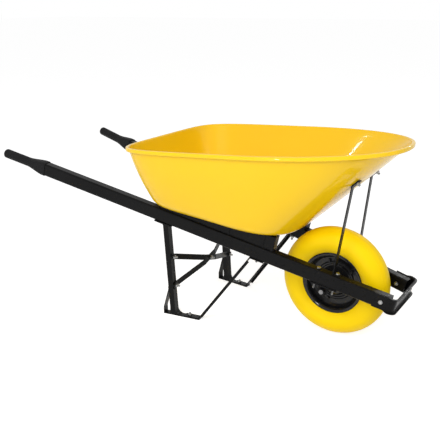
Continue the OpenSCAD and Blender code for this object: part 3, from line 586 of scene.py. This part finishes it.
# head kind, head radius, head height and shank radius in mm
fasteners = {
    "axle_bolts": ("hex", 7.5, 5.0, 4.0), "axle_bolt_nuts": ("nut", 7.5, 0, 0),
    "tray_bolts": ("dome", 9.7, 5.0, 4.0), "tray_nuts": ("nut", 7.5, 0, 0),
    "leg_bolts": ("hex", 7.5, 3.0, 4.0), "leg_nuts": ("nut", 7.5, 0, 0),
    "foot_studs": ("none", 0, 0, 4.0), "foot_nuts": ("nut", 7.5, 0, 0),
    "brace_bolts": ("hex", 6.5, 4.0, 4.0), "brace_nuts": ("nut", 7.5, 0, 0),
    "guard_bolts": ("dome", 8.1, 5.0, 4.0), "guard_nuts": ("nut", 7.5, 0, 0),
    "strap_bolts": ("dome", 8.1, 5.0, 4.0), "strap_nuts": ("nut", 7.5, 0, 0),
    "rim_bolts": ("hex", 5.5, 3.5, 3.5), "rim_nuts": ("nut", 5.5, 0, 0),
    "axle_nuts": ("nut", 12.5, 0, 0),
}
nodeBody = {n: body for body, names in frame["record"]["behaviour"]["bodies"].items() for n in names}
nodeSlot = {part["node"]: part["material_slot"] for part in frame["record"]["subparts"]}


def makeFasteners(nodeName, kind, headRadius, headHeight, shank):
    places = [boltPlace(q, kind == "nut") for q in looseParts(nodeName)]
    groups = {}
    for start, aim, length in places:
        groups.setdefault(round(length * 1000, 1), []).append((start, aim))
    meshes = []
    for length, members in groups.items():
        if kind == "nut":
            parts = [(hexOutline(0, length, headRadius), 6)]
        else:
            parts = [(studOutline(length - headHeight * 0.5, shank, min(length - headHeight - 2, 32)), 14)]
            if kind == "hex":
                parts.append((hexOutline(length - headHeight, headHeight, headRadius), 6))
            if kind == "dome":
                parts.append((domeOutline(length - headHeight, headHeight, headRadius), 28))
        mould = makeMould("mould", parts)
        spots = meshObject("spots", [m[0] for m in members], [])
        spots.data.attributes.new("aim", "FLOAT_VECTOR", "POINT").data.foreach_set(
            "vector", np.array([m[1] for m in members], np.float32).ravel())
        material = finish[slotFinish[nodeSlot[nodeName]]]
        applyTree(spots, setting, {"Mould": mould, "Size": 1.0, "Finish": material})
        bpy.data.objects.remove(mould)
        meshes.append(spots)
    work = bmesh.new()
    for one in meshes:
        work.from_mesh(one.data)
        bpy.data.objects.remove(one)
    bmesh.ops.recalc_face_normals(work, faces=work.faces)
    first, *rest = nodeName.split("_")
    piece = bpy.data.objects.new(first + "".join(w.capitalize() for w in rest), bpy.data.meshes.new(nodeName))
    work.to_mesh(piece.data)
    work.free()
    bpy.context.collection.objects.link(piece)
    piece.data.shade_smooth()
    piece.data.set_sharp_from_angle(angle=math.radians(30))
    place(piece, nodeBody[nodeName], nodeSlot[nodeName], material, nodeName)


for nodeName, sizes in fasteners.items():
    makeFasteners(nodeName, *sizes)
print("fasteners made:", len(fasteners))

# ---- grips ----
grip = {"round": 18.4, "roundLength": 121.7, "flare": 72, "sleeve": 16, "endRound": 8, "wall": 2.4, "points": 72}


def roundedBox(half, tall, radius, count):    # points by angle round a rounded rectangle
    out = []
    for i in range(count):
        a = 2 * math.pi * (i + 0.5) / count
        c, s = math.cos(a), math.sin(a)
        reach = 1e9
        if abs(c) > 1e-9:
            reach = min(reach, half / abs(c))
        if abs(s) > 1e-9:
            reach = min(reach, tall / abs(s))
        x, z = c * reach, s * reach
        cx, cz = half - radius, tall - radius
        if abs(x) > cx and abs(z) > cz:    # inside a corner: meet the arc
            ox, oz = math.copysign(cx, c), math.copysign(cz, s)
            b = c * ox + s * oz
            reach = b + math.sqrt(max(b * b - (ox * ox + oz * oz - radius * radius), 0))
            x, z = c * reach, s * reach
        out.append((x, z))
    return np.array(out)


def makeGrip(side, name, nodeName):
    n = grip["points"]
    turn = 2 * math.pi * (np.arange(n) + 0.5) / n
    circle = np.stack([np.cos(turn), np.sin(turn)], 1)
    w, h = lay["railWidth"] / mm / 2, railTop / mm
    outer = roundedBox(w + grip["wall"], h + grip["wall"], 6 + grip["wall"], n)
    inner = roundedBox(w + 0.1, h + 0.1, 6.1, n)
    back = -lay["railBack"] / mm
    tip = back - grip["flare"] - grip["roundLength"]
    stations = []
    for a in np.linspace(0, math.pi / 2, 8):    # rounded end
        stations.append((tip + grip["endRound"] * (1 - math.cos(a)),
                         circle * (grip["round"] - grip["endRound"] * (1 - math.sin(a)))))
    flareFrom = back - grip["flare"]
    for x in np.linspace(tip + grip["endRound"] + 4, flareFrom - 2, 14):
        stations.append((x, circle * grip["round"]))
    for k in np.linspace(0, 1, 15):
        ease = k * k * (3 - 2 * k) * 0.35 + k * 0.65
        stations.append((flareFrom + grip["flare"] * k, circle * grip["round"] * (1 - ease) + outer * ease))
    lip = back + grip["sleeve"]
    stations += [(lip - 1.2, outer), (lip - 0.3, outer * 0.99), (lip, outer * 0.965), (lip, inner), (back + 1, inner)]
    verts = [(x, p[0], p[1]) for x, ringPts in stations for p in ringPts]
    faces = [(j * n + i, j * n + (i + 1) % n, (j + 1) * n + (i + 1) % n, (j + 1) * n + i)
             for j in range(len(stations) - 1) for i in range(n)]
    first, last = len(verts), len(verts) + 1
    verts += [(stations[0][0], 0, 0), (stations[-1][0], 0, 0)]
    end = (len(stations) - 1) * n
    faces += [(first, (i + 1) % n, i) for i in range(n)] + [(last, end + i, end + (i + 1) % n) for i in range(n)]
    piece = meshObject(name, [tuple(c * mm for c in v) for v in verts], faces)
    piece.data.transform(railFrame(side))
    tidyMesh(piece, 40)
    place(piece, "frame", "grip", finish["gripPlastic"], nodeName)


makeGrip(1, "gripLeft", "grip_left")
makeGrip(-1, "gripRight", "grip_right")
print("grips made")

# ---- nose guard: plain arms that open into a lipped channel round the front ----
guard = {"back": 172, "front": 244, "turn": 16, "sheet": 3, "lip": 11, "low": -28, "high": 29,
         "armLow": -25, "armHigh": 27, "bend": 5, "opensFrom": 206, "opensTo": 229}


def guardStations():    # places on the inner face, with the way out from each, in mm
    yaw = lay["railYaw"]
    off = lay["railWidth"] / mm / 2 + 0.1
    along, out = np.array([math.cos(yaw), math.sin(yaw)]), np.array([math.sin(yaw), -math.cos(yaw)])
    start = np.array([0, -railY / mm]) + out * off
    mid = guard["front"] - guard["turn"]
    reach = (mid + guard["turn"] * math.sin(yaw) - start[0]) / along[0]
    centre = start + along * reach - out * guard["turn"]
    half = [(start + along * k, out) for k in np.linspace(guard["back"], reach, 16)]
    for a in np.linspace(yaw - math.pi / 2, 0, 13)[1:]:
        way = np.array([math.cos(a), math.sin(a)])
        half.append((centre + way * guard["turn"], way))
    half += [(np.array([guard["front"], y]), np.array([1.0, 0])) for y in np.linspace(half[-1][0][1], 0, 8)[1:]]
    flip = np.array([1, -1])
    return half + [(q * flip, way * flip) for q, way in half[-2::-1]]


def makeGuard():
    t = guard["sheet"] / 2
    tip, top, low = guard["lip"], guard["high"] - t, guard["low"] + t
    lipped = np.array(roundPath([(tip, top), (t, top), (t, low), (tip, low)], guard["bend"], 8))
    run = np.concatenate([[0], np.cumsum(np.linalg.norm(np.diff(lipped, axis=0), axis=1))])
    plain = np.stack([0 * run + t, guard["armHigh"] + (guard["armLow"] - guard["armHigh"]) * run / run[-1]], 1)
    verts, count = [], 0
    stations = guardStations()
    for q, way in stations:
        k = min(max((q[0] - guard["opensFrom"]) / (guard["opensTo"] - guard["opensFrom"]), 0), 1)
        k = k * k * (3 - 2 * k)
        section = thicken(plain * (1 - k) + lipped * k, guard["sheet"])
        count = len(section)
        verts += [(*(q + way * o) * mm, z * mm) for o, z in section]
    faces = [(j * count + i, j * count + (i + 1) % count, (j + 1) * count + (i + 1) % count, (j + 1) * count + i)
             for j in range(len(stations) - 1) for i in range(count)]
    last = (len(stations) - 1) * count
    half = count // 2    # each end closes between the two faces of the sheet
    for base in (0, last):
        faces += [(base + i, base + i + 1, base + count - 2 - i, base + count - 1 - i) for i in range(half - 1)]
    piece = meshObject("noseGuard", verts, faces)
    piece.data.transform(Matrix.Translation((axle.x + deckX, 0, deckZ)) @ Matrix.Rotation(lay["deckTilt"], 4, "Y"))
    tidyMesh(piece, 50)
    place(piece, "frame", "frame_paint", finish["framePaint"], "nose_guard")


makeGuard()
print("guard made")

# ---- studio ----
studio = {"floor": (0.80, 0.80, 0.80), "floorGlow": 0.62, "worldStrength": 0.46}


def seenRays(tree):    # 1 for rays that show the background: from the camera, a reflection or glass
    ray = node(tree, "ShaderNodeLightPath")
    picked = ray.outputs["Is Camera Ray"]
    for kind in ("Is Glossy Ray", "Is Transmission Ray"):
        either = node(tree, "ShaderNodeMath", operation="MAXIMUM")
        tree.links.new(picked, either.inputs[0])
        tree.links.new(ray.outputs[kind], either.inputs[1])
        picked = either.outputs[0]
    return picked


bpy.context.scene.world = world
world.use_nodes = True
sky = world.node_tree
sky.nodes.clear()
soft = node(sky, "ShaderNodeBackground", Color=(1, 1, 1, 1), Strength=studio["worldStrength"])
plain = node(sky, "ShaderNodeBackground", Color=(1, 1, 1, 1), Strength=1.0)
pick = node(sky, "ShaderNodeMixShader")
skyOut = node(sky, "ShaderNodeOutputWorld")
sky.links.new(seenRays(sky), pick.inputs[0])
sky.links.new(soft.outputs[0], pick.inputs[1])
sky.links.new(plain.outputs[0], pick.inputs[2])
sky.links.new(pick.outputs[0], skyOut.inputs["Surface"])

floor = meshObject("studioFloor", [(-40, -40, 0), (40, -40, 0), (40, 40, 0), (-40, 40, 0)], [(0, 1, 2, 3)])
floorFinish = bpy.data.materials.new("studioPaper")
floorFinish.use_nodes = True
paper = floorFinish.node_tree
paper.nodes.clear()
diffuse = node(paper, "ShaderNodeBsdfDiffuse", Color=(*studio["floor"], 1))
glow = node(paper, "ShaderNodeEmission", Color=(1, 1, 1, 1), Strength=studio["floorGlow"])
add = node(paper, "ShaderNodeAddShader")
pickPaper = node(paper, "ShaderNodeMixShader")
paperOut = node(paper, "ShaderNodeOutputMaterial")
paper.links.new(diffuse.outputs[0], add.inputs[0])
paper.links.new(glow.outputs[0], add.inputs[1])
paper.links.new(seenRays(paper), pickPaper.inputs[0])
paper.links.new(diffuse.outputs[0], pickPaper.inputs[1])
paper.links.new(add.outputs[0], pickPaper.inputs[2])
paper.links.new(pickPaper.outputs[0], paperOut.inputs["Surface"])
floor.data.materials.append(floorFinish)


def areaLamp(name, place3, aim, size, power):
    lamp = bpy.data.lights.new(name, "AREA")
    lamp.shape, lamp.size, lamp.energy = "DISK", size, power
    holder = bpy.data.objects.new(name, lamp)
    bpy.context.collection.objects.link(holder)
    holder.location = place3
    holder.rotation_euler = (Vector(aim) - Vector(place3)).to_track_quat("-Z", "Y").to_euler()
    return holder


# the wide lamps only light; the small ones make the sharp glints on the hem, the guard and the nose of the tray
for name, spot, aim, size, power, glints in (
        ("keyLamp", (0.3, -3.4, 2.3), (0.1, 0, 0.4), 2.6, 86, False),
        ("sideLamp", (2.6, -1.6, 2.0), (0.2, 0, 0.4), 1.2, 18, False),
        ("rearLamp", (-2.9, -1.2, 2.2), (0.49, 0.24, 0.63), 0.14, 3, True),
        ("hemLamp", (0.99, -1.86, 3.2), (0.55, -0.27, 0.69), 0.10, 5, True),
        ("lowLamp", (0.22, -3.02, 0.30), (0.50, -0.02, 0.20), 0.16, 4, True),
        ("noseLamp", (2.6, -0.1, 2.2), (0.55, 0, 0.22), 0.14, 3, True),
        ("backLamp", (0.71, 2.5, 1.72), (0.76, -0.11, 0.23), 0.2, 4, True)):
    areaLamp(name, spot, aim, size, power).visible_glossy = glints

# ---- camera ----
view = {"reach": (0.85107, -2.104995, 1.15752), "yaw": 32.361, "pitch": 17.963, "roll": -0.313,
        "lens": 55.024, "shift": (-0.00433, -0.00291)}
cameraData = bpy.data.cameras.new("camera")
camera = bpy.data.objects.new("camera", cameraData)
bpy.context.collection.objects.link(camera)
cameraData.sensor_width = 36.0
cameraData.lens = view["lens"]
cameraData.shift_x, cameraData.shift_y = view["shift"]
cameraData.clip_end = 200.0
camera.location = (view["reach"][0] + axle.x, view["reach"][1], view["reach"][2])
yaw, pitch, roll = (math.radians(view[k]) for k in ("yaw", "pitch", "roll"))
ahead = Vector((-math.sin(yaw) * math.cos(pitch), math.cos(yaw) * math.cos(pitch), -math.sin(pitch)))
right = Vector((math.cos(yaw), math.sin(yaw), 0))
over = right.cross(ahead)
rightTurned = math.cos(roll) * right + math.sin(roll) * over
overTurned = -math.sin(roll) * right + math.cos(roll) * over
camera.rotation_euler = Matrix((rightTurned, overTurned, -ahead)).transposed().to_euler()
bpy.context.scene.camera = camera
bpy.context.scene.view_settings.view_transform = "Standard"
